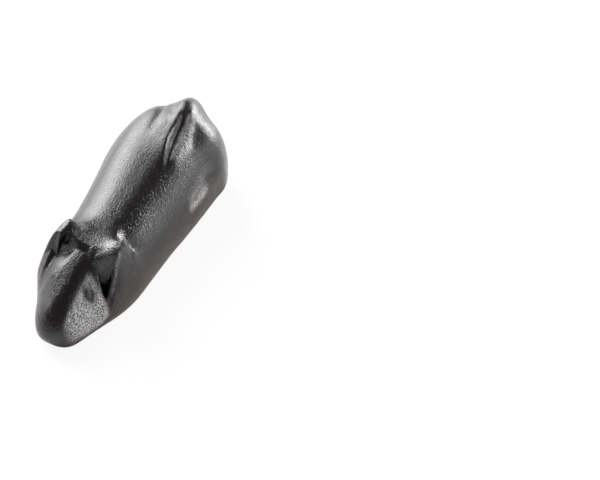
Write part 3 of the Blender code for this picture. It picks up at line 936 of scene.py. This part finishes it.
# %% Mouse object
mouse_mesh = bpy.data.meshes.new("mouse_body")
bm.to_mesh(mouse_mesh)
bm.free()
mouse_mesh.shade_smooth()
for name, values in (("rough", rough), ("dust_and_glints", dust_and_glints)):
    layer = mouse_mesh.attributes.new(name, "FLOAT", "POINT")
    layer.data.foreach_set("value", values)
mouse = bpy.data.objects.new("mouse_body", mouse_mesh)
bpy.context.scene.collection.objects.link(mouse)
print("mouse of", 2 * len(mouse_mesh.polygons), "triangles")

# %% [markdown]
# A material is a tree of nodes. Four helpers keep the next cell short: they add a noise
# texture, a change of range, a mix of two colours, and a sum or product of two values.

# %% Node helpers


def grain(tree, where, scale, detail):
    """Noise of the given scale in bumps per millimetre."""
    texture = tree.nodes.new("ShaderNodeTexNoise")
    texture.inputs["Scale"].default_value = scale
    texture.inputs["Detail"].default_value = detail
    tree.links.new(where, texture.inputs["Vector"])
    return texture.outputs["Fac"]


def ranged(tree, value, span, result):
    """Carry a value from one span of numbers to another."""
    node = tree.nodes.new("ShaderNodeMapRange")
    for name, number in zip(("From Min", "From Max", "To Min", "To Max"), span + result):
        node.inputs[name].default_value = number
    tree.links.new(value, node.inputs["Value"])
    return node.outputs["Result"]


def mixed(tree, factor, a, b):
    """Mix two colours, each given as numbers or as a socket."""
    node = tree.nodes.new("ShaderNodeMix")
    node.data_type = "RGBA"
    tree.links.new(factor, node.inputs["Factor"])
    for value, socket in ((a, node.inputs["A"]), (b, node.inputs["B"])):
        if isinstance(value, tuple):
            socket.default_value = value
        else:
            tree.links.new(value, socket)
    return node.outputs["Result"]


def joined(tree, operation, a, b):
    """Multiply or add two sockets."""
    node = tree.nodes.new("ShaderNodeMath")
    node.operation = operation
    tree.links.new(a, node.inputs[0])
    tree.links.new(b, node.inputs[1])
    return node.outputs["Value"]


print("helpers for grain, ranges, mixes and sums are ready")

# %% [markdown]
# Licorice is nearly black but not quite, and lower down its colour is mixed towards a warm
# brown, least at the nose. Its gloss is satin, because the grain spreads each reflection.
# Where the dust and glint mask is set, dark and pale specks are mixed over the black: on
# the snout partly starch dust and partly painted glints, elsewhere painted glints and
# painted highlights. The finest grain is too small for the mesh, so a bump carries it,
# stronger where the skin is rough.

# %% Licorice material
LICORICE_IOR = 1.5
PER_MM = (1000, 1000, 1000)
WHOLE = (0.0, 1.0)
BLACK = (0.007, 0.005, 0.0048, 1)
BROWN = (0.075, 0.055, 0.049, 1)
BROWN_HEIGHTS = (6.0, 1.5)
BROWN_CLOUD_SCALE = 0.5
BROWN_CLOUD_SPAN = (0.25, 0.75)
BROWN_CLOUD_SHARE = (0.3, 1.0)
BROWN_ALONG = (-15.5, -9.0)
BROWN_ALONG_SHARE = (0.3, 1.0)
DUST_AND_GLINT_DARK = (0.05, 0.047, 0.046, 1)
DUST_AND_GLINT_LIGHT = (0.6, 0.585, 0.58, 1)
SPECK_SCALE = 5.5
SPECK_SPAN = (0.34, 0.66)
GLOSS = (0.2, 0.5)
GLOSS_CLOUD_SCALE = 1.1
GLOSS_CLOUD_SPAN = (0.3, 0.7)
GLOSS_CLOUD = (-0.04, 0.06)
BUMP_SCALE = 5.2
BUMP_SHARE = (0.6, 1.6)
BUMP_DEPTH = 0.00014


def licorice():
    material = bpy.data.materials.new("licorice")
    material.use_nodes = True
    tree = material.node_tree
    shader = tree.nodes["Principled BSDF"]
    shader.inputs["IOR"].default_value = LICORICE_IOR

    object_place = tree.nodes.new("ShaderNodeTexCoord")
    in_mm = tree.nodes.new("ShaderNodeMapping")
    in_mm.inputs["Scale"].default_value = PER_MM
    tree.links.new(object_place.outputs["Object"], in_mm.inputs["Vector"])
    where = in_mm.outputs["Vector"]
    rough_mask = tree.nodes.new("ShaderNodeAttribute")
    rough_mask.attribute_name = "rough"
    dust_and_glint_mask = tree.nodes.new("ShaderNodeAttribute")
    dust_and_glint_mask.attribute_name = "dust_and_glints"

    # Brown grows towards the base, in soft clouds, and fades towards the nose
    split = tree.nodes.new("ShaderNodeSeparateXYZ")
    tree.links.new(where, split.inputs["Vector"])
    low_side = ranged(tree, split.outputs["Z"], BROWN_HEIGHTS, WHOLE)
    cloud = ranged(tree, grain(tree, where, BROWN_CLOUD_SCALE, 3.0), BROWN_CLOUD_SPAN, BROWN_CLOUD_SHARE)
    off_nose = ranged(tree, split.outputs["Y"], BROWN_ALONG, BROWN_ALONG_SHARE)
    brown_part = joined(tree, "MULTIPLY", joined(tree, "MULTIPLY", low_side, cloud), off_nose)
    skin = mixed(tree, brown_part, BLACK, BROWN)
    # Pale specks over the black: painted glints and painted highlights, and on the snout partly starch
    # dust
    specks = ranged(tree, grain(tree, where, SPECK_SCALE, 2.0), SPECK_SPAN, WHOLE)
    dust_and_glint_specks = mixed(tree, specks, DUST_AND_GLINT_DARK, DUST_AND_GLINT_LIGHT)
    tree.links.new(mixed(tree, dust_and_glint_mask.outputs["Fac"], skin, dust_and_glint_specks), shader.inputs["Base Color"])

    gloss_cloud = ranged(tree, grain(tree, where, GLOSS_CLOUD_SCALE, 2.0), GLOSS_CLOUD_SPAN, GLOSS_CLOUD)
    gloss = ranged(tree, rough_mask.outputs["Fac"], WHOLE, GLOSS)
    tree.links.new(joined(tree, "ADD", gloss, gloss_cloud), shader.inputs["Roughness"])

    fine = grain(tree, where, BUMP_SCALE, 1.5)
    share = ranged(tree, rough_mask.outputs["Fac"], WHOLE, BUMP_SHARE)
    bump = tree.nodes.new("ShaderNodeBump")
    bump.inputs["Strength"].default_value = 1.0
    bump.inputs["Distance"].default_value = BUMP_DEPTH
    tree.links.new(joined(tree, "MULTIPLY", fine, share), bump.inputs["Height"])
    tree.links.new(bump.outputs["Normal"], shader.inputs["Normal"])
    return material


mouse_mesh.materials.append(licorice())
made = mouse_mesh.materials[0]
print("material", made.name, "with", len(made.node_tree.nodes), "nodes")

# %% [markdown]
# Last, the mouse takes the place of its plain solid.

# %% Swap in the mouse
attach(mouse, "root")
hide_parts("licorice_mouse")
